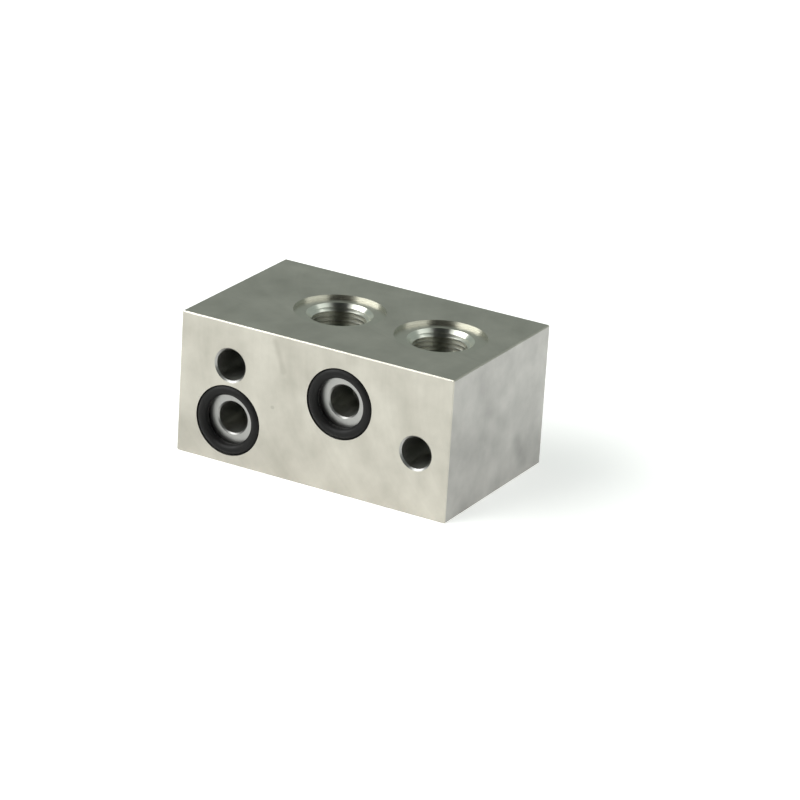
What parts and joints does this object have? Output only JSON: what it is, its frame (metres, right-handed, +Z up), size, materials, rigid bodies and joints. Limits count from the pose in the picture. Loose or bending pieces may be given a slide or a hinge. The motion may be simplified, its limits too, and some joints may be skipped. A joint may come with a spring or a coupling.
{
  "type": "hydraulic manifold block",
  "caption": "Rectangular machined port block: face-sealed oil ports on the front turn up to threaded ports on the top, with bolt holes through from front to back.",
  "frame": {"origin": "middle of the block's base", "axes": "+X along the block's length, -Y out of the mounting face with the O-rings, +Z up, out of the threaded ports"},
  "size_m": [0.085, 0.0544, 0.041],
  "materials": {
    "milled_metal": "bare, face-milled on all sides",
    "ring_rubber": "moulded, satin"
  },
  "bodies": {
    "root": {"manifold_block": "milled_metal", "left_o_ring": "ring_rubber", "right_o_ring": "ring_rubber"}
  },
  "joints": []
}
